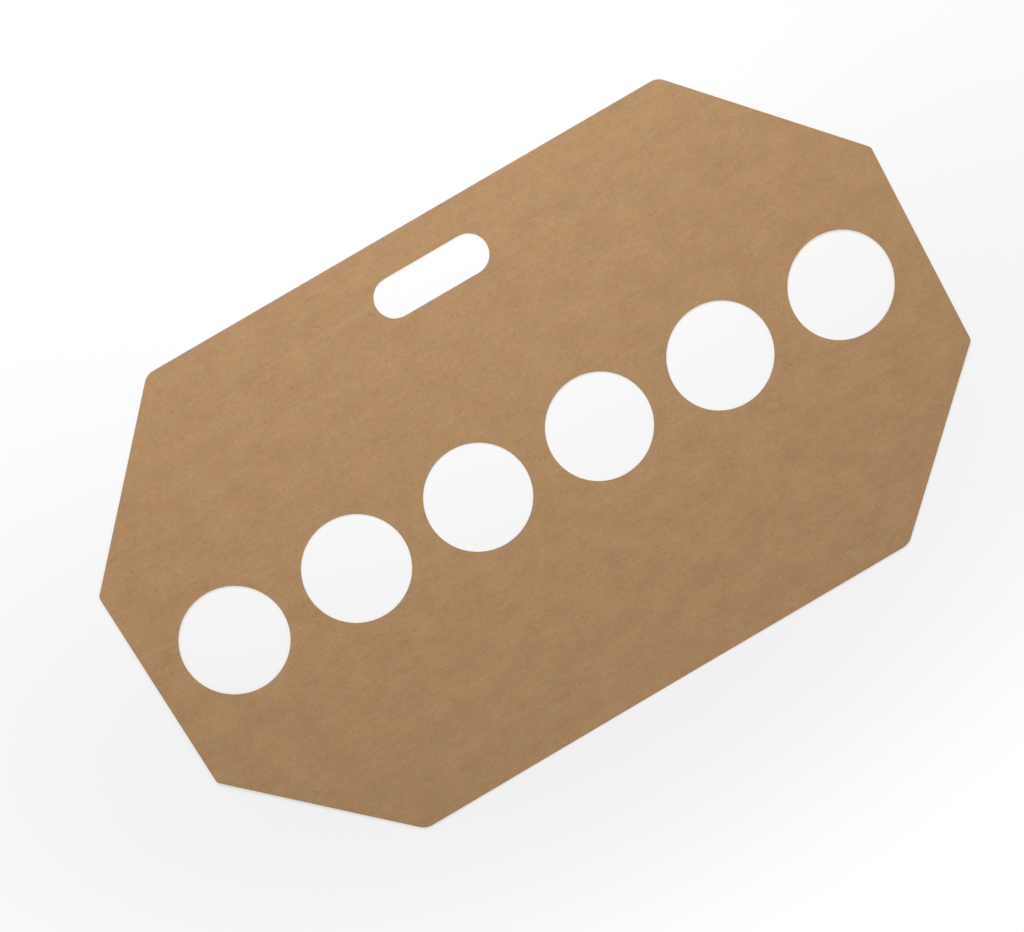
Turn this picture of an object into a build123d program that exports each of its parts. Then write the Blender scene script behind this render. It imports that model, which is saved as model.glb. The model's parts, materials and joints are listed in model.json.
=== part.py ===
"""Flat cup carrier, die-cut in one piece from solid brown kraft board.

The blank is a long octagon with a row of cup holes on its centre line and one hand slot near a long side.
It lies flat on its underside, with the origin under its middle, +X along the row of holes and +Y towards
the hand slot. All lengths are in millimetres.
"""

import os

from build123d import *

# Row of cup holes
cup_hole_count = 6
cup_hole_diameter = 75.0
web_between_holes = 20.5
end_margin = 24.0

# Hand slot
hand_slot_length = 85.0
hand_slot_width = 28.0
row_to_hand_slot = 145.0
hand_slot_margin = 24.0

# Board and its corner cuts
board_thickness = 0.5
corner_cut_length = 105.0
slot_side_cut_width = 111.5
far_side_cut_width = 104.0
long_side_corner_radius = 12.0
short_side_corner_radius = 4.0

# The row of holes sets the board's length, and the hand slot sets its width
cup_hole_pitch = cup_hole_diameter + web_between_holes
half_length = (cup_hole_count - 1) * cup_hole_pitch / 2 + cup_hole_diameter / 2 + end_margin
half_width = row_to_hand_slot + hand_slot_width / 2 + hand_slot_margin
half_long_side = half_length - corner_cut_length
short_side_top = half_width - slot_side_cut_width
short_side_bottom = -half_width + far_side_cut_width

with BuildPart() as carrier_board:
    with BuildSketch(Plane.XY) as blank:
        with BuildLine():
            Polyline(
                (half_length, short_side_top),
                (half_long_side, half_width),
                (-half_long_side, half_width),
                (-half_length, short_side_top),
                (-half_length, short_side_bottom),
                (-half_long_side, -half_width),
                (half_long_side, -half_width),
                (half_length, short_side_bottom),
                close=True,
            )
        make_face()

        # Rounded ends of the two long sides, then of the two short sides
        rows_of_corners = blank.vertices().group_by(Axis.Y)
        fillet(rows_of_corners[0] + rows_of_corners[-1], radius=long_side_corner_radius)
        columns_of_corners = blank.vertices().group_by(Axis.X)
        fillet(columns_of_corners[0] + columns_of_corners[-1], radius=short_side_corner_radius)

        with GridLocations(cup_hole_pitch, 0, cup_hole_count, 1):
            Circle(cup_hole_diameter / 2, mode=Mode.SUBTRACT)
        with Locations((0, row_to_hand_slot)):
            SlotOverall(hand_slot_length, hand_slot_width, mode=Mode.SUBTRACT)
    extrude(amount=board_thickness)

carrier_board.part.label = "carrier_board"

os.makedirs("parts", exist_ok=True)
export_step(carrier_board.part, "parts/carrier_board.step")
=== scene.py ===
"""A flat die-cut cup carrier of brown kraft board, lying on a pale studio floor.

The board is one closed surface: two faces made of plan patches, joined round every outline by the profile
of the cut edge. Lengths are in metres, apart from those of the kraft pattern, which are in millimetres.
"""

import json
import math

import bpy
import numpy as np
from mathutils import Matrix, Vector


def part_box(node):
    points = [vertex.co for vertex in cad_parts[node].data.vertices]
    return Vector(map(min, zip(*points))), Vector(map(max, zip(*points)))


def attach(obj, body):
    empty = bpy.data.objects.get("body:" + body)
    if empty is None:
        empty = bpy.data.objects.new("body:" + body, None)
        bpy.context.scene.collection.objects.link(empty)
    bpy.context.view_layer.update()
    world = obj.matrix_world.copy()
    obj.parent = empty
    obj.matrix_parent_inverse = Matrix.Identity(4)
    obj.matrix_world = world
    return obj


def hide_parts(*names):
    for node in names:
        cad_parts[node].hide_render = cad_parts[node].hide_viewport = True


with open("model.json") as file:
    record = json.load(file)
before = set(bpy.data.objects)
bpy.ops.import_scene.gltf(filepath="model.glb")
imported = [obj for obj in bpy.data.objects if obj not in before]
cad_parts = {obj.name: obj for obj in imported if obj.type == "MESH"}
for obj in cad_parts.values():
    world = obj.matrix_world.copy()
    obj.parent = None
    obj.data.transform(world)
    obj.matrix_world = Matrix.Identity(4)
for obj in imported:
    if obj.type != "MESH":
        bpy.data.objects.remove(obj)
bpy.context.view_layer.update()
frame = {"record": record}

MM = 0.001

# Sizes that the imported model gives
board_low, board_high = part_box("carrier_board")
half_length, half_width = board_high[0], board_high[1]
thickness = board_high[2] - board_low[2]
cup_holes = [mount for mount in frame["record"]["mounts"] if mount["kind"] == "bore"]
hole_places = sorted(mount["pos_m"][0] for mount in cup_holes)
hole_radius = cup_holes[0]["dims"]["r_mm"] * MM

# Other sizes of the blank
corner_cut_length = 105 * MM
slot_side_cut_width = 111.5 * MM
far_side_cut_width = 104 * MM
long_side_corner_radius = 12 * MM
short_side_corner_radius = 4 * MM
hand_slot_length = 85 * MM
hand_slot_width = 28 * MM
row_to_hand_slot = 145 * MM

# The die-cut edge: a narrow rim, softer on the side where the knife went in
rim_width = 0.60 * MM
edge_reach = 0.12 * MM
entry_round = 0.20 * MM
exit_round = 0.08 * MM
edge_steps = 4

# Steps of the plan patches, and how finely their points are told apart
steps_per_pitch = 24
steps_up_row = 36
steps_up_side = 28
steps_round_hole = 10
arc_steps = 4
weld_digits = 9
flattest_ray = 1e-9

# Slack of board that lies free: each wave has a height, a turn along X, a turn along Y and a start
bow_height = 1.10 * MM
twist_height = 0.35 * MM
shallow_waves = (
    (0.16 * MM, 5.2, 1.7, 0.6),
    (0.10 * MM, 2.1, -4.3, 2.0),
    (0.025 * MM, 11.0, 9.0, -1.0),
    (0.025 * MM, 11.0, -3.0, 1.0),
)

# Flat layout of the surface: the gap between its two faces, and the margin of its map as a share
layout_gap = 6 * MM
map_margin_share = 0.006

# Kraft colours, and the two tints that they drift between
dark_kraft = (0.320, 0.181, 0.080, 1)
pale_kraft = (0.490, 0.295, 0.144, 1)
raw_edge_kraft = (0.540, 0.360, 0.215, 1)
bark_brown = (0.115, 0.062, 0.030, 1)
redder_tint = (1.015, 0.988, 0.975, 1)
yellower_tint = (0.985, 1.010, 1.010, 1)

# Clouds in the kraft: size along X, Y and Z in millimetres, and levels of detail
formation_clouds = ((24.0, 17.0, 20.0), 2.0)
tint_clouds = ((15.0, 11.0, 13.0), 1.0)
mottle_clouds = ((6.5, 4.5, 5.0), 3.0)
web_streaks = ((130.0, 3.5, 20.0), 2.0)
surface_grain = ((0.9, 0.7, 0.8), 2.0)

# Fibres in the kraft: turn of each layer, strand size along X, Y and Z in millimetres, and shown share
pale_strands = ((0.10, -0.75, 1.05), (4.2, 0.42, 1.0), 0.26)
long_strands = ((0.35, -0.30), (8.5, 0.62, 1.0), 0.10)
dark_strands = ((-0.20, 0.55, 1.45), (3.6, 0.38, 1.0), 0.20)
bark_slivers = ((0.30,), (2.6, 1.2, 1.0), 0.008)

# Form of the strands: their curl in millimetres, their fade from rim to core, and the faintest draw
curl_size = 11.0
curl_reach = 6.0
strand_rim = 0.42
strand_core = 0.08
faintest_draw = -0.4

# Middle of each pattern, and its weights in the board's tone, roughness and relief
pattern_middles = {
    "formation": 0.5,
    "mottle": 0.5,
    "streaks": 0.5,
    "grain": 0.5,
    "pale_fibres": 0.08,
    "long_fibres": 0.02,
    "dark_fibres": 0.07,
    "cut_edge": 0.0,
}
tone_weights = {
    "formation": 0.62,
    "mottle": 0.46,
    "streaks": 0.24,
    "grain": 0.46,
    "pale_fibres": 0.38,
    "long_fibres": 0.30,
    "dark_fibres": -0.40,
}
roughness_weights = {"formation": 0.16, "mottle": 0.14, "pale_fibres": 0.10, "cut_edge": 0.18}
relief_weights = {"mottle": 1.0, "grain": 0.40, "pale_fibres": 0.30, "long_fibres": 0.30}

# Finish of the board
middle_tone = 0.5
middle_roughness = 0.68
board_specular = 0.35
relief_strength = 0.6
relief_depth = 0.12 * MM
speck_cover = 0.6
tint_fade = (0.25, 0.75)
raw_edge_fade = (0.15, 0.75)

# Floor, with a glow that grows outwards between two distances, counted in half sizes of the board
floor_reach = 20.0
floor_drop = 0.05 * MM
floor_paint = (0.92, 0.92, 0.92, 1)
floor_roughness = 0.9
floor_specular = 0.2
glow_near = 0.48
glow_from = 0.8
glow_full = 2.2

# Light: place, size and power of each softbox, and the level of the surroundings
key_softbox = ((0.08, 0.85, 0.85), 0.7, 12.2)
fill_softbox = ((0.9, -1.0, 1.6), 1.6, 3.0)
surround_level = 0.36
white = (1, 1, 1, 1)

# Camera that was worked out from the outline in the photograph
photo_width = 1024
focal_length_in_pixels = 1650.3
camera_place = (-0.03724, 0.19048, 1.1049)
camera_turn_in_degrees = (-7.6572, -5.6246, -29.885)
sensor_width_in_mm = 36


def unit(vectors):
    """Vectors divided by their lengths."""
    return vectors / np.linalg.norm(vectors, axis=-1, keepdims=True)


def inset_quarter(cut_width, inset):
    """The two corners of the corner cut in the quarter where x and y are positive, moved in by an inset.

    The slanted side is the line where its normal times a point is a constant, and that constant, the half
    length and the half width each lose the inset.
    """
    normal = unit(np.array([cut_width, corner_cut_length]))
    level = normal @ np.array([half_length, half_width - cut_width]) - inset
    right, top = half_length - inset, half_width - inset
    on_right = [right, (level - normal[0] * right) / normal[1]]
    on_top = [(level - normal[1] * top) / normal[0], top]
    return np.array([on_right, on_top])


def inset_corners(inset):
    """The eight corners of the blank's outline, moved in by an inset.

    They run anticlockwise from the upper end of the right side, and the left half mirrors the right.
    """
    slot_side = inset_quarter(slot_side_cut_width, inset)
    far_side = inset_quarter(far_side_cut_width, inset)
    upper = np.concatenate([slot_side, slot_side[::-1] * [-1, 1]])
    lower = np.concatenate([far_side * [-1, -1], far_side[::-1] * [1, -1]])
    return np.concatenate([upper, lower])


def corner_arc(before, corner, after, radius, shares):
    """Points on a corner's arc, at shares from -1, where it leaves the first side, to 1, on the second.

    The centre lies on the inner bisector. A point is turned about it by its share of half the corner's turn.
    """
    first, second = unit(corner - before), unit(after - corner)
    half_turn = math.acos(first @ second) / 2
    inward, ahead = unit(second - first), unit(first + second)
    centre = corner + inward * radius / math.cos(half_turn)
    angle = shares[:, None] * half_turn
    return centre + radius * (np.sin(angle) * ahead - np.cos(angle) * inward)


def straight_run(start, end, steps):
    """Points in even steps on a straight line."""
    shares = np.linspace(0, 1, steps + 1)[:, None]
    return np.asarray(start) + shares * (np.asarray(end) - np.asarray(start))


def rounded_side(corners, radii, side, steps):
    """Points along one side of the outline, from the middle of one corner's arc to the middle of the next.

    Half an arc, a straight run in even steps, and half an arc.
    """
    count = len(corners)
    before, start, end, after = (corners[(side + step) % count] for step in (-1, 0, 1, 2))
    first = corner_arc(before, start, end, radii[side], np.linspace(0, 1, arc_steps + 1))
    last = corner_arc(start, end, after, radii[(side + 1) % count], np.linspace(-1, 0, arc_steps + 1))
    run = straight_run(first[-1], last[0], steps - 2 * arc_steps)
    return np.concatenate([first, run[1:-1], last])


def row_line(end, cell_lines):
    """Points across the board at an end point's height, in even steps within each hole's cell."""
    stops = [(place, end[1]) for place in (-end[0], *cell_lines, end[0])]
    runs = [straight_run(start, stop, steps_per_pitch) for start, stop in zip(stops, stops[1:])]
    return np.concatenate([run[:-1] for run in runs] + [runs[-1][-1:]])


def four_sided(bottom, top, left, right):
    """Coons patch over four sides: the two blends of opposite sides, less the blend of the four corners."""
    u = np.linspace(0, 1, len(bottom))[None, :, None]
    v = np.linspace(0, 1, len(left))[:, None, None]
    across = (1 - v) * bottom[None] + v * top[None]
    upward = (1 - u) * left[:, None] + u * right[:, None]
    corners = (1 - v) * ((1 - u) * bottom[0] + u * bottom[-1]) + v * ((1 - u) * top[0] + u * top[-1])
    return across + upward - corners


def border_of(grid):
    """A patch's border as a closed anticlockwise loop, from its lower left corner."""
    return np.concatenate([grid[0, :-1], grid[:-1, -1], grid[-1, :0:-1], grid[:0:-1, 0]])


def slot_outline(rays, half_run, radius):
    """Where rays from a slot's middle meet its outline: a straight side, or a circle about an end's centre.

    On the side the ray is stretched until its height is the radius. On the end its length is the larger root
    of the circle's equation. A half run of zero gives a round hole.
    """
    way = unit(rays)
    height = np.maximum(np.abs(way[:, 1]), flattest_ray)
    run = np.abs(way[:, 0]) * half_run
    on_end = run + np.sqrt(np.maximum(run**2 - half_run**2 + radius**2, 0))
    on_side = radius / height
    reach = np.where(np.abs(way[:, 0]) * on_side <= half_run, on_side, on_end)
    return way * reach[:, None]


def hole_ring(border, middle, half_run, radius):
    """Patch round a hole: even steps from each point of its outline to the border point on the same ray."""
    inner = middle + slot_outline(border - middle, half_run, radius)
    shares = np.linspace(0, 1, steps_round_hole + 1)[:, None, None]
    return inner[None] + shares * (border - inner)[None]


def plan_of_blank():
    """The blank in plan, inside its rim: closed rings round the holes, open patches, and its outer loop.

    A row of cells holds the cup holes, with one four-sided patch above it and one below.
    The middle of the upper patch is the cell of the hand slot.
    """
    corners = inset_corners(rim_width)
    corner_radii = [short_side_corner_radius, long_side_corner_radius]
    radii = [radius - rim_width for radius in (corner_radii + corner_radii[::-1]) * 2]
    long_steps = steps_per_pitch * len(hole_places)
    steps = [steps_up_side, long_steps, steps_up_side, steps_up_row] * 2
    sides = [rounded_side(corners, radii, side, steps[side]) for side in range(len(corners))]
    right_upper, top, left_upper, left, left_lower, bottom, right_lower, right = sides

    cell_lines = [(low + high) / 2 for low, high in zip(hole_places, hole_places[1:])]
    over, under = row_line(right_upper[0], cell_lines), row_line(right[0], cell_lines)
    upper = four_sided(over, top[::-1], left_upper[::-1], right_upper)
    lower = four_sided(bottom, under, left_lower[::-1], right_lower)

    middle_step = len(hole_places) // 2 * steps_per_pitch
    slot_from, slot_to = middle_step - steps_per_pitch, middle_step + steps_per_pitch
    patches = [upper[:, : slot_from + 1], upper[:, slot_to:], lower]
    slot_middle = np.array([0, row_to_hand_slot])
    slot_half_run = (hand_slot_length - hand_slot_width) / 2
    slot_cell = border_of(upper[:, slot_from : slot_to + 1])
    rings = [hole_ring(slot_cell, slot_middle, slot_half_run, hand_slot_width / 2 + rim_width)]

    uprights = [straight_run((place, under[0, 1]), (place, over[0, 1]), steps_up_row) for place in cell_lines]
    uprights = [left[::-1], *uprights, right]
    for cell, place in enumerate(hole_places):
        span = slice(cell * steps_per_pitch, (cell + 1) * steps_per_pitch + 1)
        cell_sides = under[span], uprights[cell + 1], over[span][::-1], uprights[cell][::-1]
        border = np.concatenate([side[:-1] for side in cell_sides])
        rings.append(hole_ring(border, np.array([place, 0]), 0, hole_radius + rim_width))
    return rings, patches, np.concatenate([side[:-1] for side in sides])


def quads(index, closed):
    """Faces of a grid of vertex numbers, anticlockwise where columns run right and rows run up."""
    if closed:
        index = np.hstack([index, index[:, :1]])
    return np.stack([index[:-1, :-1], index[:-1, 1:], index[1:, 1:], index[1:, :-1]], -1).reshape(-1, 4)


def welded_plan():
    """The plan's patches welded into one sheet: its points, its faces, and loops along its outlines.

    Loops run with the board on their left: anticlockwise round the outside, clockwise round each hole.
    """
    rings, patches, outer_loop = plan_of_blank()
    grids = [grid[::-1] for grid in rings] + patches
    closed = [True] * len(rings) + [False] * len(patches)
    shapes = [grid.shape[:2] for grid in grids]
    starts = np.cumsum([0] + [rows * columns for rows, columns in shapes])
    numbers = [start + np.arange(math.prod(shape)).reshape(shape) for start, shape in zip(starts, shapes)]
    loose = np.concatenate([grid.reshape(-1, 2) for grid in grids] + [outer_loop])
    plan, welded = np.unique(np.round(loose, weld_digits), axis=0, return_inverse=True)
    welded = welded.ravel()
    sheet = welded[np.concatenate([quads(number, is_ring) for number, is_ring in zip(numbers, closed)])]
    loops = [welded[starts[-1] :]] + [welded[number[-1, ::-1]] for number in numbers[: len(rings)]]
    return plan, sheet, loops


def board_lift(plan):
    """Height of the board's underside above the floor, because board stays a little wavy when it lies free.

    With x and y counted in half sizes, it is a bow that goes with x squared, a twist that goes with x times
    y, and waves that are sines of a turn along x, a turn along y and a start. The sum is lowered until it
    touches the floor.
    """
    x, y = plan[:, 0] / half_length, plan[:, 1] / half_width
    heights, turns_along, turns_across, wave_starts = np.array(shallow_waves).T
    phases = np.outer(x, turns_along) + np.outer(y, turns_across) + wave_starts
    height = bow_height * x**2 + twist_height * x * y + np.sin(phases) @ heights
    return height - height.min()


def edge_profile():
    """Section of the die-cut edge as steps outwards and heights, from the top face round to the underside.

    A flat rim, a quarter of an ellipse over the top, the cut face, a smaller quarter under it, and the flat
    rim again.
    """
    quarter = np.linspace(0, math.pi / 2, edge_steps + 1)
    flat = rim_width - edge_reach
    out_over = flat + edge_reach * np.sin(quarter)
    high_over = thickness - entry_round * (1 - np.cos(quarter))
    out_under = flat + edge_reach * np.cos(quarter)
    high_under = exit_round * (1 - np.sin(quarter))
    out = np.concatenate([[0], out_over, out_under, [0]])
    high = np.concatenate([[thickness], high_over, high_under, [0]])
    return out, high


def board_surface():
    """Points, faces, cut-edge shares and flat layout of the whole board.

    The sheet is the top face and, turned over, the underside. The edge profile is carried round each outline,
    stepping away from the board along the outline's normal. The cut-edge share is how far the profile has
    come down, as a share of the entry round, times how far it has come out, as a share of the rim. In the
    layout, which gives each face corner a place in metres, the edges are rolled out flat round the top face,
    by their length along the profile, and the underside lies mirrored below them.
    """
    plan, sheet, loops = welded_plan()
    height = board_lift(plan)
    count = len(plan)
    points = [np.column_stack([plan, height + thickness]), np.column_stack([plan, height])]
    faces = [sheet, sheet[:, ::-1] + count]
    edge_shares = [np.zeros(2 * count)]
    layout_drop = 2 * half_width + layout_gap
    layout = [plan[sheet], plan[sheet[:, ::-1]] * [-1, 1] - [0, layout_drop]]

    out, high = edge_profile()
    share = np.clip((thickness - high) / entry_round, 0, 1) * np.clip(out / rim_width, 0, 1)
    rolled_out = np.concatenate([[0], np.cumsum(np.hypot(np.diff(out), np.diff(high)))])
    made = 2 * count
    for loop in loops:
        along = unit(np.roll(plan[loop], -1, axis=0) - np.roll(plan[loop], 1, axis=0))
        away = np.column_stack([along[:, 1], -along[:, 0]])
        rows = plan[loop] + out[1:-1, None, None] * away
        levels = height[loop] + high[1:-1, None]
        inner_rows = made + np.arange(levels.size).reshape(levels.shape)
        made += levels.size
        points.append(np.dstack([rows, levels]).reshape(-1, 3))
        faces.append(quads(np.vstack([loop, inner_rows, loop + count])[::-1], True))
        edge_shares.append(np.repeat(share[1:-1], len(loop)))
        flat_rows = plan[loop] + rolled_out[:, None, None] * away
        flat_index = np.arange(len(out) * len(loop)).reshape(len(out), len(loop))
        layout.append(flat_rows.reshape(-1, 2)[quads(flat_index[::-1], True)])
    return (np.concatenate(group) for group in (points, faces, edge_shares, layout))


def make_board(material):
    """The board's object, smooth all over, with its cut-edge attribute and its map.

    Its map is the flat layout, stretched along and across to fill a square inside a margin.
    """
    points, faces, edge_shares, layout = board_surface()
    mesh = bpy.data.meshes.new("carrier_board_sheet")
    mesh.from_pydata(points, [], faces)
    mesh.polygons.foreach_set("use_smooth", np.ones(len(faces), dtype=bool))
    attribute = mesh.attributes.new("cut_edge", "FLOAT", "POINT")
    attribute.data.foreach_set("value", edge_shares.astype(np.float32))
    corners = layout.reshape(-1, 2)
    low, high = corners.min(axis=0), corners.max(axis=0)
    spots = map_margin_share + (1 - 2 * map_margin_share) * (corners - low) / (high - low)
    bake_map = mesh.uv_layers.new(name="OFBake")
    bake_map.uv.foreach_set("vector", spots.astype(np.float32).ravel())
    mesh.materials.append(material)
    mesh.update()
    board = bpy.data.objects.new("carrier_board_sheet", mesh)
    bpy.context.scene.collection.objects.link(board)
    return board


def add_node(tree, kind, inputs=None, **settings):
    """A new node with its settings, where each input is a plain value or the output that feeds it."""
    node = tree.nodes.new(kind)
    for name, value in settings.items():
        setattr(node, name, value)
    for key, value in (inputs or {}).items():
        if isinstance(value, bpy.types.NodeSocket):
            tree.links.new(value, node.inputs[key])
        else:
            node.inputs[key].default_value = value
    return node


def work_out(tree, operation, first, second):
    """Output of a sum, a product or another step between two values."""
    return add_node(tree, "ShaderNodeMath", {0: first, 1: second}, operation=operation).outputs[0]


def vary(tree, middle, patterns, weights):
    """Output of a middle value plus each pattern's weight times its difference from its own middle."""
    total = middle
    for name, weight in weights.items():
        offset = work_out(tree, "SUBTRACT", patterns[name], pattern_middles[name])
        part = work_out(tree, "MULTIPLY", offset, weight)
        total = work_out(tree, "ADD", part, total)
    return total


def fade(tree, value, start, end, low=0.0, high=1.0):
    """Output that goes smoothly from low to high as a value goes from start to end."""
    inputs = {"Value": value, "From Min": start, "From Max": end, "To Min": low, "To Max": high}
    return add_node(tree, "ShaderNodeMapRange", inputs, interpolation_type="SMOOTHSTEP").outputs["Result"]


def mix_colours(tree, share, first, second, blend="MIX"):
    """Output of a blend between two colours."""
    inputs = {0: share, 6: first, 7: second}
    return add_node(tree, "ShaderNodeMix", inputs, data_type="RGBA", blend_type=blend).outputs[2]


def stretch(tree, place, size):
    """Place divided by a pattern's size along X, Y and Z."""
    return add_node(tree, "ShaderNodeVectorMath", {0: place, 1: size}, operation="DIVIDE").outputs[0]


def clouds(tree, place, size, detail):
    """Soft noise with clouds of the given size along X, Y and Z."""
    inputs = {"Vector": stretch(tree, place, size), "Scale": 1.0, "Detail": detail}
    return add_node(tree, "ShaderNodeTexNoise", inputs).outputs["Fac"]


def bend(tree, place, size, reach):
    """Place moved by soft noise, by about the given reach, so that straight strands on it come out curved."""
    noise = add_node(tree, "ShaderNodeTexNoise", {"Vector": place, "Scale": 1 / size, "Detail": 1.0})
    inputs = {0: noise.outputs["Color"], 1: (reach,) * 3, 2: place}
    return add_node(tree, "ShaderNodeVectorMath", inputs, operation="MULTIPLY_ADD").outputs[0]


def fibre_layer_group():
    """Node group for a layer of fibres that lie mostly one way: a mask of strands of different strengths.

    The place is turned and divided by a strand's length and width, so that the cells' round spots become
    strands. Only the shown share of the cells has one.
    """
    group = bpy.data.node_groups.new("fibre_layer", "ShaderNodeTree")
    sockets = {"Place": "Vector", "Turn": "Float", "Strand Size": "Vector", "Shown Share": "Float"}
    for name, kind in sockets.items():
        group.interface.new_socket(name, in_out="INPUT", socket_type="NodeSocket" + kind)
    group.interface.new_socket("Strands", in_out="OUTPUT", socket_type="NodeSocketFloat")
    given = group.nodes.new("NodeGroupInput").outputs

    turn_inputs = {"Vector": given["Place"], "Angle": given["Turn"]}
    turned = add_node(group, "ShaderNodeVectorRotate", turn_inputs, rotation_type="Z_AXIS").outputs[0]
    cell_inputs = {"Vector": stretch(group, turned, given["Strand Size"]), "Scale": 1.0}
    cells = add_node(group, "ShaderNodeTexVoronoi", cell_inputs, voronoi_dimensions="2D")
    draws = add_node(group, "ShaderNodeSeparateColor", {0: cells.outputs["Color"]}).outputs

    spots = fade(group, cells.outputs["Distance"], strand_rim, strand_core)
    strength = work_out(group, "MULTIPLY", spots, fade(group, draws["Green"], faintest_draw, 1.0))
    shown = work_out(group, "LESS_THAN", draws["Red"], given["Shown Share"])
    strands = work_out(group, "MULTIPLY", strength, shown)
    add_node(group, "NodeGroupOutput", {"Strands": strands})
    return group


def fibre_layers(tree, group, place, turns, strand_size, shown_share):
    """Sum of several layers of fibres, one for each turn."""
    total = 0.0
    for turn in turns:
        inputs = {"Place": place, "Turn": turn, "Strand Size": strand_size, "Shown Share": shown_share}
        layer = add_node(tree, "ShaderNodeGroup", inputs, node_tree=group)
        total = work_out(tree, "ADD", layer.outputs["Strands"], total)
    return total


def kraft_board_material():
    """Smooth brown kraft board, whose tone, roughness and relief come from the same clouds and fibres.

    The tone runs from the dark to the pale kraft colour, and soft clouds tint it redder or yellower.
    A few specks of bark lie over it, and the raw cut edge is paler.
    """
    material = bpy.data.materials.new("kraft_board")
    material.use_nodes = True
    tree = material.node_tree
    shader = tree.nodes["Principled BSDF"]
    shader.inputs["Specular IOR Level"].default_value = board_specular

    metres = add_node(tree, "ShaderNodeTexCoord").outputs["Object"]
    place = stretch(tree, metres, (MM,) * 3)
    curled = bend(tree, place, curl_size, curl_reach)
    fibres = fibre_layer_group()
    patterns = {
        "formation": clouds(tree, place, *formation_clouds),
        "mottle": clouds(tree, place, *mottle_clouds),
        "streaks": clouds(tree, place, *web_streaks),
        "grain": clouds(tree, place, *surface_grain),
        "pale_fibres": fibre_layers(tree, fibres, curled, *pale_strands),
        "long_fibres": fibre_layers(tree, fibres, curled, *long_strands),
        "dark_fibres": fibre_layers(tree, fibres, curled, *dark_strands),
        "cut_edge": add_node(tree, "ShaderNodeAttribute", attribute_name="cut_edge").outputs["Fac"],
    }

    tone = vary(tree, middle_tone, patterns, tone_weights)
    colour = mix_colours(tree, tone, dark_kraft, pale_kraft)
    tint_drift = fade(tree, clouds(tree, place, *tint_clouds), *tint_fade)
    tint = mix_colours(tree, tint_drift, redder_tint, yellower_tint)
    colour = mix_colours(tree, 1.0, colour, tint, blend="MULTIPLY")
    specks = fibre_layers(tree, fibres, curled, *bark_slivers)
    colour = mix_colours(tree, work_out(tree, "MULTIPLY", specks, speck_cover), colour, bark_brown)
    raw_grain = fade(tree, patterns["grain"], *raw_edge_fade)
    raw_share = work_out(tree, "MULTIPLY", patterns["cut_edge"], raw_grain)
    colour = mix_colours(tree, raw_share, colour, raw_edge_kraft)

    roughness = vary(tree, middle_roughness, patterns, roughness_weights)
    relief = vary(tree, 0.0, patterns, relief_weights)
    bump_inputs = {"Height": relief, "Strength": relief_strength, "Distance": relief_depth}
    bump = add_node(tree, "ShaderNodeBump", bump_inputs)
    tree.links.new(colour, shader.inputs["Base Color"])
    tree.links.new(roughness, shader.inputs["Roughness"])
    tree.links.new(bump.outputs["Normal"], shader.inputs["Normal"])
    return material


def seen_directly(tree):
    """Output of 1 for rays from the camera, also mirrored or let through, and 0 for light that is cast."""
    rays = add_node(tree, "ShaderNodeLightPath").outputs
    mirrored = work_out(tree, "MAXIMUM", rays["Is Glossy Ray"], rays["Is Transmission Ray"])
    return work_out(tree, "MAXIMUM", rays["Is Camera Ray"], mirrored)


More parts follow.
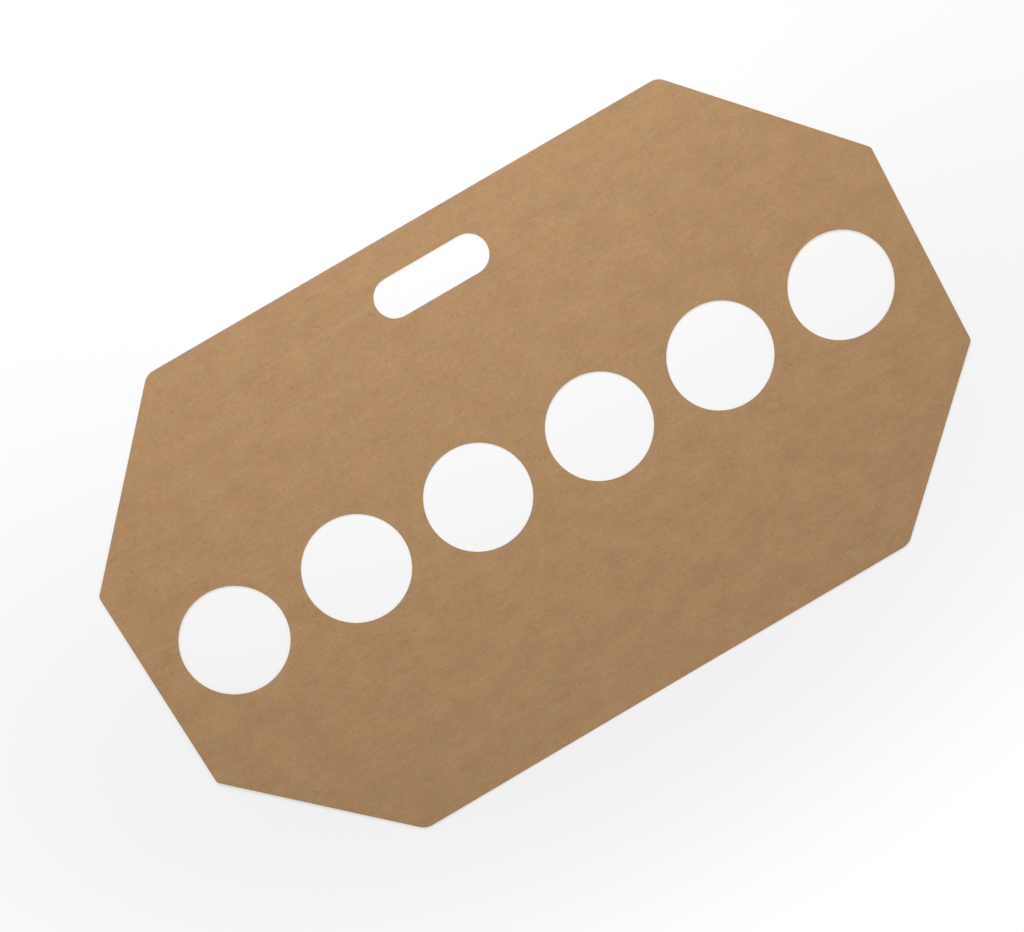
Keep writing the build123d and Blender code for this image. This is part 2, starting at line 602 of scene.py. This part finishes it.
def floor_material():
    """Matt white floor that keeps the board's shadow, and glows partly white where it is seen.

    The glow grows from its near share to all of it between two distances from the board's middle.
    """
    material = bpy.data.materials.new("pale_floor")
    material.use_nodes = True
    tree = material.node_tree
    shader = tree.nodes["Principled BSDF"]
    shader.inputs["Base Color"].default_value = floor_paint
    shader.inputs["Roughness"].default_value = floor_roughness
    shader.inputs["Specular IOR Level"].default_value = floor_specular
    metres = add_node(tree, "ShaderNodeTexCoord").outputs["Object"]
    place = stretch(tree, metres, (half_length, half_width, 1.0))
    distance = add_node(tree, "ShaderNodeVectorMath", {0: place}, operation="LENGTH").outputs["Value"]
    glow = fade(tree, distance, glow_from, glow_full, glow_near, 1.0)
    share = work_out(tree, "MULTIPLY", glow, seen_directly(tree))
    glowing = add_node(tree, "ShaderNodeEmission", {"Color": white, "Strength": 1.0}).outputs[0]
    mixed = add_node(tree, "ShaderNodeMixShader", {0: share, 1: shader.outputs[0], 2: glowing}).outputs[0]
    tree.links.new(mixed, tree.nodes["Material Output"].inputs["Surface"])
    return material


def make_floor():
    """A wide flat floor just under the board."""
    outline = np.array([(-1, -1), (1, -1), (1, 1), (-1, 1)]) * floor_reach
    mesh = bpy.data.meshes.new("floor")
    mesh.from_pydata(np.insert(outline, 2, -floor_drop, axis=1), [], [(0, 1, 2, 3)])
    mesh.materials.append(floor_material())
    floor = bpy.data.objects.new("floor", mesh)
    bpy.context.scene.collection.objects.link(floor)
    return floor


def add_softbox(name, place, size, power):
    """A square lamp that faces the middle of the board."""
    lamp = bpy.data.lights.new(name, "AREA")
    lamp.size = size
    lamp.energy = power
    softbox = bpy.data.objects.new(name, lamp)
    softbox.location = place
    softbox.rotation_mode = "QUATERNION"
    softbox.rotation_quaternion = softbox.location.to_track_quat("Z", "Y")
    bpy.context.scene.collection.objects.link(softbox)


def make_world():
    """Even white surroundings: a soft light on the board, and plain white where they are seen."""
    world = bpy.data.worlds.new("studio")
    world.use_nodes = True
    tree = world.node_tree
    level = fade(tree, seen_directly(tree), 0.0, 1.0, surround_level, 1.0)
    background = tree.nodes["Background"]
    background.inputs["Color"].default_value = white
    tree.links.new(level, background.inputs["Strength"])
    bpy.context.scene.world = world


def make_camera():
    """The camera, at the photograph's place and with its angle of view."""
    data = bpy.data.cameras.new("camera")
    data.sensor_width = sensor_width_in_mm
    data.lens = sensor_width_in_mm * focal_length_in_pixels / photo_width
    camera = bpy.data.objects.new("camera", data)
    camera.location = camera_place
    camera.rotation_euler = np.radians(camera_turn_in_degrees)
    bpy.context.scene.collection.objects.link(camera)
    bpy.context.scene.camera = camera


# The board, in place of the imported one
board = make_board(kraft_board_material())
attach(board, "root")
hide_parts("carrier_board")

# Floor, light and camera
make_floor()
add_softbox("key_softbox", *key_softbox)
add_softbox("fill_softbox", *fill_softbox)
make_world()
make_camera()
bpy.context.scene.view_settings.view_transform = "Standard"
